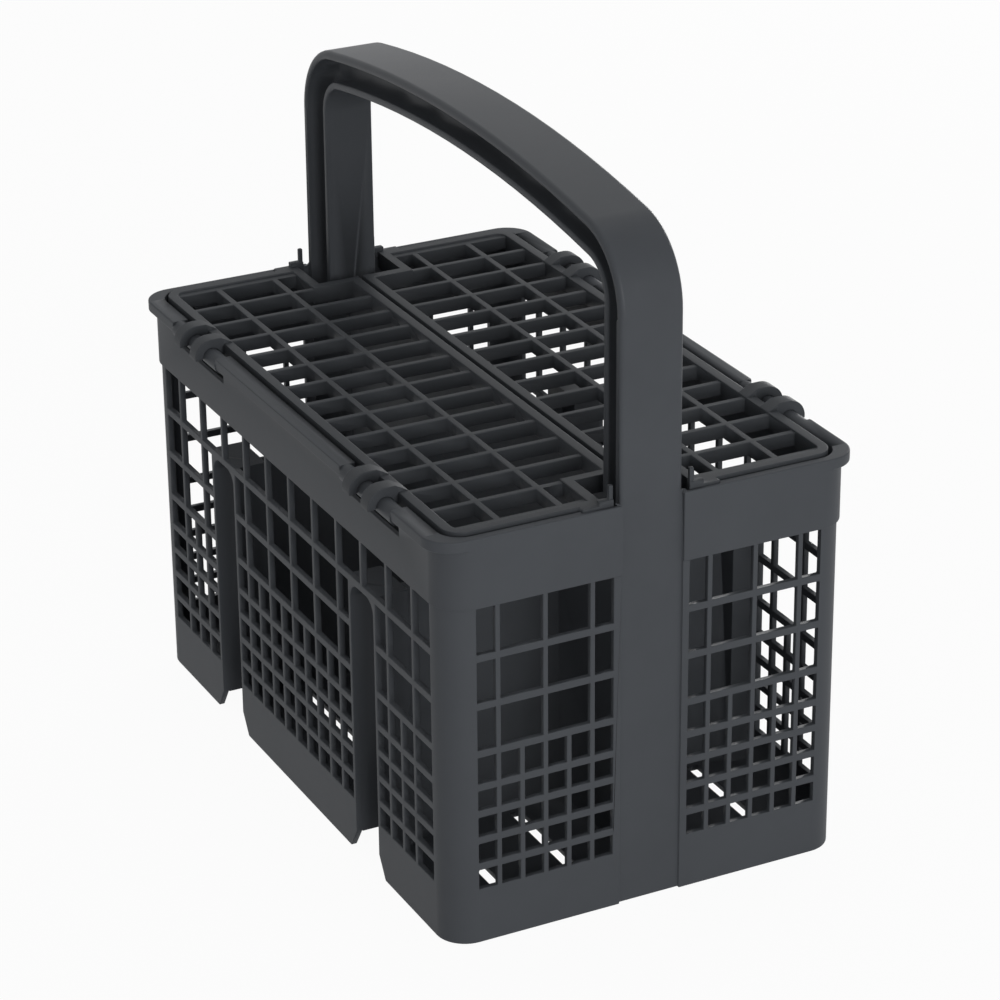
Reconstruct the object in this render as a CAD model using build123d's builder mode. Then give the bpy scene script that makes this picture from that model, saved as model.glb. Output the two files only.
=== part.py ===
from build123d import *
import os
from math import sqrt

# Basket body, over the lattice walls
body_width = 140.0
body_length = 230.5
wall = 2.0
plan_radius = 10.0

# Lattice rows, from the sill up
sill_height = 18.9
bar_height = 2.5
small_row = 6.7
medium_row = 9.0
large_row = 13.7
top_row = 15.8

# Lattice columns of the short walls
end_window_start = 13.2
end_opening = 6.41
end_bar = 1.66
end_columns = 6

# Lattice columns of the long walls
long_pitch = 9.175
long_bar = 1.8
panel_half_columns = 5
channel_column = 6
long_window_half = 103.9

# Top band, rim lip and lid ledge
band_height = 23.1
band_proud = 0.9
lip_proud = 2.6
lip_height = 3.7
lip_radius = 10.0
ledge_depth = 4.0
ledge_thickness = 1.9
ledge_start = 26.0
ledge_end = 56.0

# Floor
floor_low = 7.0
floor_thickness = 2.0
drain_width = 4.0
drain_lines = (20.0, 46.0)
drain_margin = 6.0

# Central wall and cross partitions
central_wall = 2.0
partition_wall = 1.6
partition_height = 97.0

# Rack channels in the long walls
channel_half = 8.4
channel_depth = 10.0
channel_wall = 1.6
channel_top_radius = 5.0
flare_half = 13.0
flare_height = 7.5

# Pillars and carrying handle
handle_width = 21.4
pillar_recess = 0.95
handle_height = 230.0
crown_radius = 580.0
handle_corner = 26.0
leg_depth = 14.6
crown_depth = 13.5
handle_inner_corner = 11.5
outer_flange = 3.0
inner_flange = 2.5
inner_flange_width = 17.5
handle_web = 2.5
inner_flange_lap = 10.0

# Lids
lid_gap = 1.6
lid_side_gap = 1.5
lid_end_gap = 1.1
lid_radius = 6.6
lid_rise = 0.8
lid_frame_depth = 6.0
lid_frame_width = 3.4
lid_rib_width = 2.2
lid_rib_depth = 4.6
lid_rib_drop = 0.7
lid_rib_lines = (27.0, 48.0)
lid_row_pitch = 15.3
lid_rows_half = 7
lid_seat_gap = 0.3
post_gap_side = 4.8
post_gap_inner = 5.7

# Hinges
rod_radius = 2.9
knuckle_stations = (60.7, 74.1)
knuckle_width = 5.5
knuckle_radius = 6.0
hook_reach = 8.0
running_clearance = 0.06
hinge_slot_lead = 9.0
knuckle_sweep_gap = 0.5
arm_root = 3.4
arm_slope = 3.5

# Latches beside the pillars
latch_start = 12.0
latch_tab_start = 16.8
latch_tab_end = 23.7
latch_gap = 0.2
latch_reach = 1.4
latch_pocket_depth = 1.6
pad_offset = 1.2
pad_depth = 2.2
pad_rise = 2.2
nub_size = 1.4
nub_rise = 6.8

# Heights and places that follow from the driving dimensions
half_width = body_width / 2
half_length = body_length / 2
band_low = sill_height + 4 * small_row + medium_row + 2 * large_row + top_row + 7 * bar_height
rim_height = band_low + band_height
channel_y = channel_column * long_pitch
channel_top = band_low - top_row - bar_height
hinge_x = half_width + band_proud
hinge_z = rim_height - rod_radius
lid_top = rim_height + lid_rise
lid_low = lid_top - lid_frame_depth
lid_outer = half_width - wall - lid_side_gap
lid_inner = lid_gap / 2
rim_inner = half_length - wall
lid_end = rim_inner - lid_end_gap
pillar_face = half_length - pillar_recess
post_inner = pillar_face - leg_depth
notch_side = handle_width / 2 + post_gap_side
notch_end = post_inner - post_gap_inner
lid_seat = lid_low - lid_seat_gap
latch_low = rim_height - latch_pocket_depth
band_face = half_length + band_proud


def stack(start, sizes, gap):
    """Edges of openings that follow one another from start, with a bar of gap between them."""
    spans = []
    low = start
    for size in sizes:
        spans.append((low, low + size))
        low += size + gap
    return spans


def between_lines(first, last, pitch, bar):
    """Edges of the openings between evenly spaced bars, from line first to line last."""
    return [(k * pitch + bar / 2, (k + 1) * pitch - bar / 2) for k in range(first, last)]


def joined(spans, counts):
    """Neighbouring openings run together, counts giving how many go into each wider one."""
    wide = []
    index = 0
    for count in counts:
        wide.append((spans[index][0], spans[index + count - 1][1]))
        index += count
    return wide


def mirrored(spans):
    """The same openings on the other side of the middle."""
    return [(-high, -low) for low, high in spans]


def cells(columns, rows):
    """Rectangles of the sketch in hand, one for each column and row, drawn in groups of one size."""
    groups = {}
    for left, right in columns:
        for low, high in rows:
            size = (round(right - left, 6), round(high - low, 6))
            groups.setdefault(size, []).append(((left + right) / 2, (low + high) / 2))
    for (width, height), centres in groups.items():
        with Locations(*centres):
            Rectangle(width, height)


def hoop(half, top, corner, base, mode=Mode.ADD):
    """Handle outline for the sketch in hand: two legs, a gently crowned top and round shoulders."""
    radius = crown_radius - (handle_height - top)
    shoulder = top - radius + sqrt(radius**2 - half**2)
    with BuildSketch(mode=Mode.PRIVATE) as outline:
        with BuildLine():
            Polyline((-half, shoulder), (-half, base), (half, base), (half, shoulder))
            ThreePointArc((half, shoulder), (0, top), (-half, shoulder))
        make_face()
        fillet(outline.vertices().group_by(Axis.Y)[-1], corner)
    add(outline.sketch, mode=mode)


def outer_hoop(inset, mode=Mode.ADD):
    """Outside of the handle, drawn in by inset, its legs running down the pillars to the floor."""
    hoop(pillar_face - inset, handle_height - inset, handle_corner - inset, floor_low, mode)


def inner_hoop(grow, base, mode=Mode.ADD):
    """Inside of the handle, grown by grow."""
    hoop(post_inner + grow, handle_height - crown_depth + grow, handle_inner_corner + grow, base, mode)


def lid_outline(inset, mode=Mode.ADD):
    """Plan of the right lid for the sketch in hand, drawn in by inset, both outer corners rounded."""
    with BuildSketch(mode=Mode.PRIVATE) as plan:
        with Locations(((lid_inner + lid_outer) / 2, 0)):
            Rectangle(lid_outer - lid_inner - 2 * inset, 2 * (lid_end - inset))
        fillet(plan.vertices().group_by(Axis.X)[-1], lid_radius - inset)
    add(plan.sketch, mode=mode)


def post_notches(inset):
    """Cuts in the plan of the sketch in hand that leave room for the handle's legs, grown by inset."""
    with Locations((0, lid_end), (0, -lid_end)):
        Rectangle(2 * (notch_side + inset), 2 * (lid_end - notch_end + inset), mode=Mode.SUBTRACT)


# Openings of the lattice
rows = stack(sill_height, 4 * [small_row] + [medium_row] + 2 * [large_row] + [top_row], bar_height)
fine_rows = rows[:5]
wide_rows = rows[5:]
end_fine = stack(end_window_start, end_columns * [end_opening], end_bar)
end_wide = joined(end_fine, (1, 2, 2, 1))
panel_fine = between_lines(-panel_half_columns, panel_half_columns, long_pitch, long_bar)
panel_wide = joined(panel_fine, (1, 2, 2, 2, 2, 1))
side_fine = between_lines(channel_column + 1, channel_column + 4, long_pitch, long_bar)
side_fine.append((side_fine[-1][1] + long_bar, long_window_half))
side_wide = joined(side_fine, (1, 2, 1))
top_wide = between_lines(-panel_half_columns, panel_half_columns, 2 * long_pitch, long_bar)
top_outer = [(top_wide[-1][1] + long_bar, long_window_half)]
knuckles = [end * station for end in (-1, 1) for station in knuckle_stations]

with BuildPart() as basket_body:
    # Four walls
    with BuildSketch():
        RectangleRounded(body_width, body_length, plan_radius)
        RectangleRounded(body_width - 2 * wall, 2 * rim_inner, plan_radius - wall, mode=Mode.SUBTRACT)
    extrude(amount=rim_height)

    # Proud top band
    with BuildSketch(Plane.XY.offset(band_low)):
        RectangleRounded(2 * hinge_x, 2 * band_face, plan_radius + band_proud)
        RectangleRounded(body_width - 2 * wall, 2 * rim_inner, plan_radius - wall, mode=Mode.SUBTRACT)
    extrude(amount=band_height)

    # Lip that stands out along the long rims and dies away round the corners
    with BuildSketch(Plane.XY.offset(rim_height - lip_height)):
        RectangleRounded(2 * (hinge_x + lip_proud), 2 * band_face, lip_radius)
        RectangleRounded(body_width - 2 * wall, 2 * rim_inner, plan_radius - wall, mode=Mode.SUBTRACT)
    extrude(amount=lip_height)

    # Floor, with long drain slots in each bay
    with BuildSketch(Plane.XY.offset(floor_low)):
        RectangleRounded(body_width - wall, body_length - wall, plan_radius - wall / 2)
    extrude(amount=floor_thickness)
    drain_columns = [(line - drain_width / 2, line + drain_width / 2) for line in drain_lines]
    bay_edge = partition_wall / 2 + drain_margin
    end_drains = [(channel_y + bay_edge, rim_inner - drain_margin)]
    middle_drains = [(bay_edge - channel_y, channel_y - bay_edge)]
    with BuildSketch(Plane.XY.offset(floor_low)):
        cells(drain_columns + mirrored(drain_columns), middle_drains + end_drains + mirrored(end_drains))
    extrude(amount=floor_thickness, mode=Mode.SUBTRACT)

    # Central wall under the handle, and cross partitions at the rack channels
    with Locations((0, 0, floor_low)):
        Box(central_wall, body_length - wall, lid_seat - floor_low, align=(Align.CENTER, Align.CENTER, Align.MIN))
    with Locations((0, channel_y, floor_low), (0, -channel_y, floor_low)):
        Box(body_width - 2 * channel_depth - channel_wall, partition_wall, partition_height - floor_low,
            align=(Align.CENTER, Align.CENTER, Align.MIN))

    # Rack channels: a pocket behind the wall, open to the outside and downwards, round at its top corners
    pocket_middle = half_width - (channel_depth + channel_wall) / 2
    with BuildSketch(Plane.XY.offset(floor_low)):
        with GridLocations(2 * pocket_middle, 2 * channel_y, 2, 2):
            Rectangle(channel_depth + channel_wall, 2 * (channel_half + channel_wall))
    extrude(amount=channel_top + bar_height - floor_low)
    for face in (-half_width, half_width):
        with BuildSketch(Plane.YZ.offset(face)) as groove:
            with Locations((channel_y, channel_top), (-channel_y, channel_top)):
                Rectangle(2 * channel_half, 2 * channel_top, align=(Align.CENTER, Align.MAX))
            fillet(groove.vertices().group_by(Axis.Y)[-1], channel_top_radius)
    extrude(amount=channel_depth, both=True, mode=Mode.SUBTRACT)

    # Ledges at both ends that carry the lids
    ledge_middle = rim_inner - ledge_depth / 2
    with Locations((0, 0, lid_seat - ledge_thickness)):
        with GridLocations(ledge_start + ledge_end, 2 * ledge_middle, 2, 2):
            Box(ledge_end - ledge_start, ledge_depth, ledge_thickness,
                align=(Align.CENTER, Align.CENTER, Align.MIN))

    # Slots through the long rims for pairs of hinge hooks, each bridged by a round hinge rod
    slot_low = hinge_z - knuckle_radius - knuckle_sweep_gap
    slot_start = knuckle_stations[0] - knuckle_width / 2 - hinge_slot_lead
    slot_end = knuckle_stations[-1] + knuckle_width / 2 + hinge_slot_lead
    with Locations((0, 0, slot_low)):
        with GridLocations(2 * hinge_x, slot_start + slot_end, 2, 2):
            Box(4 * knuckle_radius, slot_end - slot_start, 4 * knuckle_radius,
                align=(Align.CENTER, Align.CENTER, Align.MIN), mode=Mode.SUBTRACT)
    with Locations((0, 0, hinge_z)):
        with GridLocations(2 * hinge_x, slot_start + slot_end, 2, 2):
            Cylinder(rod_radius, slot_end - slot_start, rotation=(90, 0, 0))

    # Pillars set back in both end walls, and the handle that grows out of them
    with GridLocations(body_width, 2 * (pillar_face + body_width / 2), 1, 2):
        Box(handle_width, body_width, 2 * rim_height + handle_height, mode=Mode.SUBTRACT)
    with BuildSketch(Plane.YZ):
        outer_hoop(0)
        outer_hoop(outer_flange, Mode.SUBTRACT)
    extrude(amount=handle_width / 2, both=True)
    with BuildSketch(Plane.YZ):
        outer_hoop(outer_flange / 2)
        inner_hoop(inner_flange / 2, floor_low, Mode.SUBTRACT)
    extrude(amount=handle_web / 2, both=True)
    with BuildSketch(Plane.YZ):
        inner_hoop(inner_flange, lid_seat - inner_flange_lap)
        inner_hoop(0, lid_seat - inner_flange_lap, Mode.SUBTRACT)
    extrude(amount=inner_flange_width / 2, both=True)

    # Latch pockets in the top of the rim beside the pillars
    with Locations((0, 0, latch_low)):
        with GridLocations(latch_start + latch_tab_end + latch_gap, 2 * rim_inner, 2, 2):
            Box(latch_tab_end + latch_gap - latch_start, 2 * (latch_reach + latch_gap), 2 * latch_pocket_depth,
                align=(Align.CENTER, Align.CENTER, Align.MIN), mode=Mode.SUBTRACT)

    # Lattice through the four walls, and the skirt flared below each rack channel
    for face in (-half_length, half_length):
        with BuildSketch(Plane.XZ.offset(face)):
            for columns, levels in ((end_fine, fine_rows), (end_wide, wide_rows)):
                cells(columns + mirrored(columns), levels)
    for face in (-half_width, half_width):
        with BuildSketch(Plane.YZ.offset(face)):
            cells(panel_fine + side_fine + mirrored(side_fine), fine_rows)
            cells(panel_wide + side_wide + mirrored(side_wide), wide_rows[:-1])
            cells(top_wide + top_outer + mirrored(top_outer), wide_rows[-1:])
            with Locations((channel_y, 0), (-channel_y, 0)):
                Polygon((-flare_half, 0), (flare_half, 0), (channel_half, flare_height),
                        (-channel_half, flare_height), align=None)
    extrude(amount=wall, both=True, mode=Mode.SUBTRACT)

# Lid columns and rows, the outer rows being cut short by the frame
lid_lines = [lid_inner + lid_frame_width - lid_rib_width / 2, *lid_rib_lines]
lid_lines.append(lid_outer - lid_frame_width + lid_rib_width / 2)
lid_columns = [(left + lid_rib_width / 2, right - lid_rib_width / 2) for left, right in zip(lid_lines, lid_lines[1:])]
lid_rows = between_lines(-lid_rows_half, lid_rows_half, lid_row_pitch, lid_rib_width)

with BuildPart() as right_lid:
    # Frame, notched at both ends round the handle's legs
    with BuildSketch(Plane.XY.offset(lid_low)):
        lid_outline(0)
        post_notches(0)
        with BuildSketch(mode=Mode.PRIVATE) as frame_hole:
            lid_outline(lid_frame_width)
            post_notches(lid_frame_width)
        add(frame_hole.sketch, mode=Mode.SUBTRACT)
    extrude(amount=lid_frame_depth)

    # Lattice of ribs inside the frame
    with BuildSketch(Plane.XY.offset(lid_top - lid_rib_drop - lid_rib_depth)):
        lid_outline(lid_frame_width / 2)
        post_notches(lid_frame_width / 2)
        with BuildSketch(mode=Mode.PRIVATE) as openings:
            cells(lid_columns, lid_rows)
            lid_outline(lid_frame_width, Mode.INTERSECT)
            post_notches(lid_frame_width)
        add(openings.sketch, mode=Mode.SUBTRACT)
    extrude(amount=lid_rib_depth)

    # Hook-shaped hinge arms that reach over the rim and wrap the hinge rods
    for place in knuckles:
        with BuildSketch(Plane.XZ.offset(-place)):
            with Locations((hinge_x, hinge_z)):
                Circle(knuckle_radius)
                Rectangle(4 * knuckle_radius, 2 * knuckle_radius, rotation=-hook_reach,
                          align=(Align.CENTER, Align.MAX), mode=Mode.SUBTRACT)
            Polygon((lid_outer - arm_root, hinge_z), (hinge_x, hinge_z), (hinge_x, hinge_z + knuckle_radius),
                    (hinge_x - arm_slope, hinge_z + knuckle_radius), (lid_outer - arm_root, lid_top), align=None)
            with Locations((hinge_x, hinge_z)):
                Circle(rod_radius + running_clearance, mode=Mode.SUBTRACT)
        extrude(amount=knuckle_width / 2, both=True)

    # Latch tabs that lie in the pockets of the rim, each with a pad and a small finger nub
    tab_low = latch_low + latch_gap
    tab_root = lid_end - lid_frame_width
    tab_tip = rim_inner + latch_reach
    for end in (-1, 1):
        with Locations(((latch_tab_start + latch_tab_end) / 2, end * (tab_root + tab_tip) / 2, tab_low)):
            Box(latch_tab_end - latch_tab_start, tab_tip - tab_root, lid_top - tab_low,
                align=(Align.CENTER, Align.CENTER, Align.MIN))
        with Locations((latch_start + pad_offset, end * (tab_tip - pad_depth / 2), tab_low)):
            Box(latch_tab_start - latch_start, pad_depth, rim_height + pad_rise - tab_low,
                align=(Align.MIN, Align.CENTER, Align.MIN))
            Box(nub_size, nub_size, rim_height + nub_rise - tab_low, align=(Align.MIN, Align.CENTER, Align.MIN))

with BuildPart() as left_lid:
    mirror(right_lid.part, about=Plane.YZ)

os.makedirs("parts", exist_ok=True)
basket_body.part.label = "basket_body"
right_lid.part.label = "right_lid"
left_lid.part.label = "left_lid"
export_step(basket_body.part, "parts/basket_body.step")
export_step(right_lid.part, "parts/right_lid.step")
export_step(left_lid.part, "parts/left_lid.step")
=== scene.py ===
from math import cos, hypot, radians, sin

import bmesh
import bpy
from mathutils import Matrix, Vector


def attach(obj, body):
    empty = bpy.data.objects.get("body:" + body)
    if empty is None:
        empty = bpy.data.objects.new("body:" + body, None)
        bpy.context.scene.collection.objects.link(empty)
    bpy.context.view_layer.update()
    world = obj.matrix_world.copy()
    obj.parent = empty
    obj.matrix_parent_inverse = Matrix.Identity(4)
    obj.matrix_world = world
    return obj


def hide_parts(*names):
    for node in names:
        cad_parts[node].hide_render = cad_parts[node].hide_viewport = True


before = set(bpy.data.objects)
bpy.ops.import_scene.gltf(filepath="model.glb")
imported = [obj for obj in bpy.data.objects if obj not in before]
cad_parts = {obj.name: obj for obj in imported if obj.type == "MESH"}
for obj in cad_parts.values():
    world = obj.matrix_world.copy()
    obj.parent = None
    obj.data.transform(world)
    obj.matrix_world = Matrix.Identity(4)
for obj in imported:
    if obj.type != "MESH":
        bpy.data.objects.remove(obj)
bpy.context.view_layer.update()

# Camera, as fitted to the photograph: angles in degrees, lengths in metres, focal length in image widths
CAMERA_AZIMUTH = 26.73
CAMERA_ELEVATION = 24.59
CAMERA_ROLL = -0.54
BASE_IN_CAMERA = Vector((-0.00499, -0.08308, 1.22992))
FOCAL_LENGTH = 3.58645
SENSOR_WIDTH = 36.0
FAR_CLIP = 100.0

# Where the basket's edges lie, in metres
HANDLE_FOOT = 0.1405
HANDLE_MIDDLE = Vector((0.0, 0.0, 0.16))
OUTER_FLANGE_SIDE = 0.0095
RIM_LOW = 0.134
RIM_CORE = (0.060, 0.105)
RIM_REACH = 0.0097
HINGE_LOW = 0.128
HINGE_SIDE = 0.0675
BAND_LOW = 0.114
PILLAR_SIDE = 0.0112
LATCH_SIDE = 0.0255
LATCH_ENDS = (0.112, 0.1155)

# Rounding of the edges: radii in metres, and how many radii wide a face beside a rounded edge has to be
MERGE_DISTANCE = 0.000002
SHARP_ANGLE = radians(45.0)
HANDLE_OUTER_EDGE = 0.0016
HANDLE_INNER_EDGE = 0.0008
RIM_EDGE = 0.0005
BODY_EDGE = 0.00028
LID_EDGE = 0.0003
NARROW = 1.5

# Colours, linear
BASKET_DEEP = (0.062, 0.067, 0.075, 1.0)
BASKET_PALE = (0.074, 0.080, 0.089, 1.0)
# The lids' colours are darker than the basket's: partly the lids' own tone, partly painted shade for the shade that
# the lids lie in
LID_DEEP_WITH_PAINTED_SHADE = (0.049, 0.053, 0.059, 1.0)
LID_PALE_WITH_PAINTED_SHADE = (0.059, 0.064, 0.071, 1.0)
FLOOR_COLOUR = (0.86, 0.86, 0.86, 1.0)
WHITE = (1.0, 1.0, 1.0, 1.0)

# Etched finish: noise cells to the metre for the clouding, the waves and the grain, and the relief's depth in metres
CLOUD_CELLS = 22.0
WAVE_CELLS = 160.0
GRAIN_CELLS = 2100.0
NOISE_ROUGHNESS = 0.55
SATIN_ROUGHNESS = 0.42
ROUGHNESS_SPREAD = 0.10
RELIEF_STRENGTH = 0.35
RELIEF_DEPTH = 0.00006
SATIN_SPECULAR = 0.13

# The grip of the handle is smoother than the rest: this much less rough, in full above this height in metres
HANDLE_POLISH = 0.11
POLISH_TOP = 0.19

# Light: the world's level, each lamp's name, place, size in metres and watts, and the point that the lamps face
WORLD_LEVEL = 0.26
SOFTBOXES = (
    ("overhead softbox", (0.1, 0.6, 1.5), 1.2, 3.0),
    ("front softbox", (-0.12, -1.6, 0.5), 0.8, 11.4),
    ("back softbox", (1.3, 1.0, 0.3), 0.5, 8.0),
)
LAMP_TARGET = Vector((0.0, 0.0, 0.1))

# Floor: its radius in metres, and how much of it shows as plain white
FLOOR_RADIUS = 30.0
FLOOR_ROUGHNESS = 0.9
FLOOR_WHITE = 0.95


class Value:
    """A socket in a node tree, with the arithmetic that the finishes and the light use."""

    def __init__(self, tree, socket=None):
        self.tree = tree
        self.socket = socket

    def node(self, kind, settings, inputs, output):
        """Adds a node of any kind: its settings first, then the values or links of its sockets."""
        made = self.tree.nodes.new(kind)
        for name, setting in settings.items():
            setattr(made, name, setting)
        for name, given in inputs.items():
            if isinstance(given, Value):
                self.tree.links.new(given.socket, made.inputs[name])
            else:
                made.inputs[name].default_value = given
        return Value(self.tree, made.outputs[output])

    def maths(self, operation, first, second):
        return self.node("ShaderNodeMath", {"operation": operation}, {0: first, 1: second}, 0)

    def __add__(self, other):
        return self.maths("ADD", self, other)

    __radd__ = __add__

    def __mul__(self, other):
        return self.maths("MULTIPLY", self, other)

    __rmul__ = __mul__

    def __sub__(self, other):
        return self.maths("SUBTRACT", self, other)

    def __rsub__(self, other):
        return self.maths("SUBTRACT", other, self)

    def larger(self, other):
        return self.maths("MAXIMUM", self, other)

    def feed(self, shader, name):
        """Links this value to a shader's socket."""
        self.tree.links.new(self.socket, shader.inputs[name])


def satin_moulding(name, deep, pale, seed):
    """Charcoal plastic from a finely etched mould: soft clouding, grain a few tenths of a millimetre wide."""
    material = bpy.data.materials.new(name)
    material.use_nodes = True
    tree = material.node_tree
    shader = tree.nodes["Principled BSDF"]
    place = Value(tree).node("ShaderNodeTexCoord", {}, {}, "Object")

    def noise(cells, detail, turn):
        return place.node(
            "ShaderNodeTexNoise",
            {"noise_dimensions": "4D"},
            {
                "Vector": place,
                "W": seed + turn,
                "Scale": cells,
                "Detail": detail,
                "Roughness": NOISE_ROUGHNESS,
            },
            "Fac",
        )

    cloud = noise(CLOUD_CELLS, 3.0, 0.0)
    grain = noise(GRAIN_CELLS, 2.0, 4.0)
    waves = noise(WAVE_CELLS, 2.0, 8.0)
    shade = cloud * 0.7 + waves * 0.2 + grain * 0.1
    colour = place.node(
        "ShaderNodeMix",
        {"data_type": "RGBA", "clamp_factor": True},
        {"Factor": shade * 2.2 - 0.6, "A": deep, "B": pale},
        "Result",
    )
    colour.feed(shader, "Base Color")
    height = place.node("ShaderNodeSeparateXYZ", {}, {"Vector": place}, "Z")
    polish = place.node(
        "ShaderNodeMapRange",
        {"interpolation_type": "SMOOTHSTEP"},
        {
            "Value": height,
            "From Min": HANDLE_FOOT,
            "From Max": POLISH_TOP,
            "To Min": 0.0,
            "To Max": HANDLE_POLISH,
        },
        "Result",
    )
    rough = cloud * ROUGHNESS_SPREAD + grain * ROUGHNESS_SPREAD + SATIN_ROUGHNESS - polish
    rough.feed(shader, "Roughness")
    relief = place.node(
        "ShaderNodeBump",
        {},
        {"Strength": RELIEF_STRENGTH, "Distance": RELIEF_DEPTH, "Height": grain + waves * 0.6},
        "Normal",
    )
    relief.feed(shader, "Normal")
    shader.inputs["Specular IOR Level"].default_value = SATIN_SPECULAR
    return material


def convex_edges(mesh, wanted, narrowest):
    """The sharp outer edges of a mesh that are wanted, except beside faces under the narrowest width."""
    found = []
    for edge in mesh.edges:
        if not edge.is_manifold or not edge.is_convex or edge.calc_face_angle() < SHARP_ANGLE:
            continue
        middle = (edge.verts[0].co + edge.verts[1].co) / 2
        lean = sum((face.normal for face in edge.link_faces), Vector())
        width = min(2 * face.calc_area() / edge.calc_length() for face in edge.link_faces)
        if width > narrowest and wanted(middle, lean):
            found.append(edge)
    return found


def rounded(mesh, wanted, radius, narrowest, segments):
    """Rounds the wanted sharp edges of a mesh."""
    bmesh.ops.bevel(
        mesh,
        geom=convex_edges(mesh, wanted, narrowest),
        offset=radius,
        offset_type="OFFSET",
        affect="EDGES",
        segments=segments,
        profile=0.5,
        material=-1,
        clamp_overlap=False,
        loop_slide=True,
    )


def moulding(name, node, body, material, edges):
    """A copy of a CAD node with its edges rounded as they leave the mould, which stands for the node."""
    mesh = bmesh.new()
    mesh.from_mesh(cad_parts[node].data)
    bmesh.ops.remove_doubles(mesh, verts=mesh.verts, dist=MERGE_DISTANCE)
    for wanted, radius, narrowest, segments in edges:
        rounded(mesh, wanted, radius, narrowest, segments)
    bmesh.ops.dissolve_degenerate(mesh, dist=MERGE_DISTANCE, edges=mesh.edges)
    for face in mesh.faces:
        face.smooth = True
    data = bpy.data.meshes.new(name)
    mesh.to_mesh(data)
    mesh.free()
    data.materials.clear()
    data.materials.append(material)
    piece = bpy.data.objects.new(name, data)
    bpy.context.collection.objects.link(piece)
    shading = piece.modifiers.new("even shading", "WEIGHTED_NORMAL")
    shading.mode = "FACE_AREA"
    shading.weight = 100
    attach(piece, body)
    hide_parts(node)


def handle_outside(middle, lean):
    """True on the edges of the handle's outer flange that face away from the hand."""
    outward = lean.yz.dot((middle - HANDLE_MIDDLE).yz) > 0.0
    return outward and middle.z > HANDLE_FOOT and abs(middle.x) > OUTER_FLANGE_SIDE


def handle_inside(middle, lean):
    """True on all of the handle: what the outer flange leaves sharp."""
    return middle.z > HANDLE_FOOT


def latch_pocket(middle):
    """True on the edges of the pockets that the latches lie in, which stay sharp."""
    return abs(middle.x) < LATCH_SIDE and LATCH_ENDS[0] < abs(middle.y) < LATCH_ENDS[1] and middle.z > RIM_LOW


def rim_outside(middle, lean):
    """True on the outer edges of the rim and its lip, which lie well away from the basket's core."""
    reach = hypot(max(abs(middle.x) - RIM_CORE[0], 0.0), max(abs(middle.y) - RIM_CORE[1], 0.0))
    return RIM_LOW < middle.z <= HANDLE_FOOT and reach > RIM_REACH and not latch_pocket(middle)


def basket_walls(middle, lean):
    """True below the handle, away from the hinge slots, the latches and the band's ends at the pillars."""
    hinge = abs(middle.x) > HINGE_SIDE and middle.z > HINGE_LOW
    pillar = abs(middle.x) < PILLAR_SIDE and middle.z > BAND_LOW
    return middle.z <= HANDLE_FOOT and not hinge and not pillar and not latch_pocket(middle)


def anywhere(middle, lean):
    """True on every edge of a lid."""
    return True


basket_plastic = satin_moulding("basket satin plastic", BASKET_DEEP, BASKET_PALE, seed=1.0)
# The lids' material carries painted shade: its colours are darker than the basket's partly to stand in for the shade
# on the lids
lid_plastic_with_painted_shade = satin_moulding("lid satin plastic with painted shade", LID_DEEP_WITH_PAINTED_SHADE, LID_PALE_WITH_PAINTED_SHADE, seed=31.0)

# Each pass of rounding: the edges wanted, their radius, the narrowest face beside them, the segments
moulding(
    "lattice_basket",
    node="basket_body",
    body="basket",
    material=basket_plastic,
    edges=(
        (handle_outside, HANDLE_OUTER_EDGE, 0.0, 4),
        (handle_inside, HANDLE_INNER_EDGE, 0.0, 3),
        (rim_outside, RIM_EDGE, NARROW * RIM_EDGE, 3),
        (basket_walls, BODY_EDGE, NARROW * BODY_EDGE, 2),
    ),
)
for side in ("left", "right"):
    moulding(
        side + "_grid_lid",
        node=side + "_lid",
        body=side + " lid",
        material=lid_plastic_with_painted_shade,
        edges=((anywhere, LID_EDGE, NARROW * LID_EDGE, 2),),
    )


def background_ray(tree):
    """One for rays that show the background: from the camera, a gloss or a clear piece."""
    seen = Value(tree).node("ShaderNodeLightPath", {}, {}, "Is Camera Ray")
    path = seen.socket.node
    for name in ("Is Glossy Ray", "Is Transmission Ray"):
        seen = seen.larger(Value(tree, path.outputs[name]))
    return seen


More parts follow.
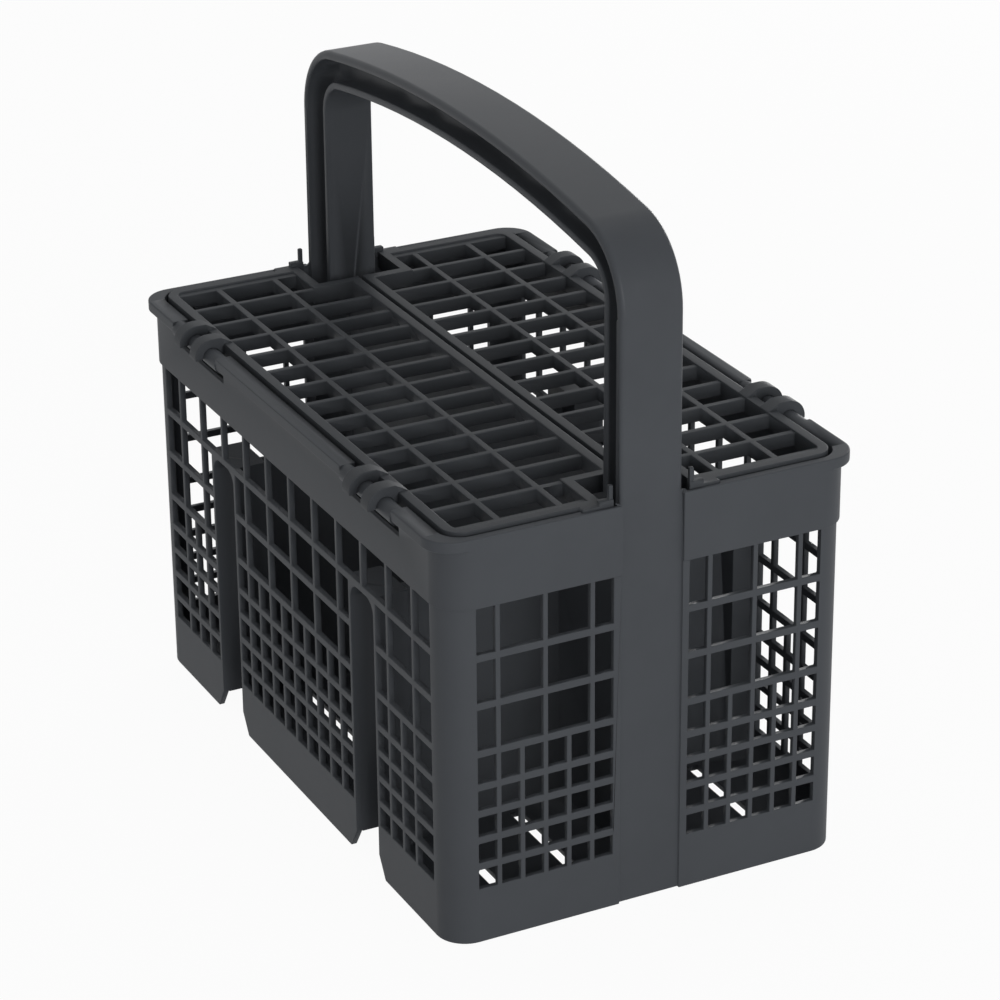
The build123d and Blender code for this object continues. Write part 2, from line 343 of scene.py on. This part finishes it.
def pale_floor():
    """A wide floor under the skirt, seen as white, which keeps the basket's shadow."""
    mesh = bmesh.new()
    bmesh.ops.create_circle(mesh, cap_ends=True, segments=96, radius=FLOOR_RADIUS)
    data = bpy.data.meshes.new("floor")
    mesh.to_mesh(data)
    mesh.free()
    material = bpy.data.materials.new("pale floor")
    material.use_nodes = True
    tree = material.node_tree
    matt = tree.nodes["Principled BSDF"]
    matt.inputs["Base Color"].default_value = FLOOR_COLOUR
    matt.inputs["Roughness"].default_value = FLOOR_ROUGHNESS
    matt.inputs["Specular IOR Level"].default_value = 0.0
    ray = background_ray(tree)
    white = Value(tree).node("ShaderNodeEmission", {}, {"Strength": 1.0}, "Emission")
    seen = ray.node(
        "ShaderNodeMixShader",
        {},
        {0: ray * FLOOR_WHITE, 1: Value(tree, matt.outputs["BSDF"]), 2: white},
        "Shader",
    )
    seen.feed(tree.nodes["Material Output"], "Surface")
    data.materials.append(material)
    floor = bpy.data.objects.new("floor", data)
    bpy.context.collection.objects.link(floor)


def studio_world():
    """Plain soft light from all round, with white behind the basket and in its reflections."""
    world = bpy.data.worlds.new("studio")
    bpy.context.scene.world = world
    world.use_nodes = True
    tree = world.node_tree
    background = tree.nodes["Background"]
    background.inputs["Color"].default_value = WHITE
    level = background_ray(tree) * (1.0 - WORLD_LEVEL) + WORLD_LEVEL
    level.feed(background, "Strength")


def softbox(name, place, size, watts):
    """A square lamp turned towards the middle of the basket."""
    lamp = bpy.data.lights.new(name, "AREA")
    lamp.shape = "SQUARE"
    lamp.size = size
    lamp.energy = watts
    box = bpy.data.objects.new(name, lamp)
    bpy.context.collection.objects.link(box)
    box.location = place
    aim = LAMP_TARGET - box.location
    box.rotation_euler = aim.to_track_quat("-Z", "Y").to_euler()


def photograph_camera():
    """A camera where the photograph was taken from."""
    turn, rise, roll = (radians(a) for a in (CAMERA_AZIMUTH, CAMERA_ELEVATION, CAMERA_ROLL))
    ahead = Vector((sin(turn) * cos(rise), cos(turn) * cos(rise), -sin(rise)))
    level = Vector((cos(turn), -sin(turn), 0.0))
    upright = level.cross(ahead)
    right = cos(roll) * level + sin(roll) * upright
    up = cos(roll) * upright - sin(roll) * level
    place = -(right * BASE_IN_CAMERA.x + up * BASE_IN_CAMERA.y + ahead * BASE_IN_CAMERA.z)
    axes = Matrix((right, up, -ahead)).transposed()
    lens = bpy.data.cameras.new("photograph camera")
    lens.sensor_width = SENSOR_WIDTH
    lens.lens = FOCAL_LENGTH * SENSOR_WIDTH
    lens.clip_end = FAR_CLIP
    camera = bpy.data.objects.new("photograph camera", lens)
    bpy.context.collection.objects.link(camera)
    camera.matrix_world = Matrix.Translation(place) @ axes.to_4x4()
    bpy.context.scene.camera = camera


pale_floor()
studio_world()
for name, place, size, watts in SOFTBOXES:
    softbox(name, place, size, watts)
photograph_camera()
bpy.context.scene.view_settings.view_transform = "Standard"
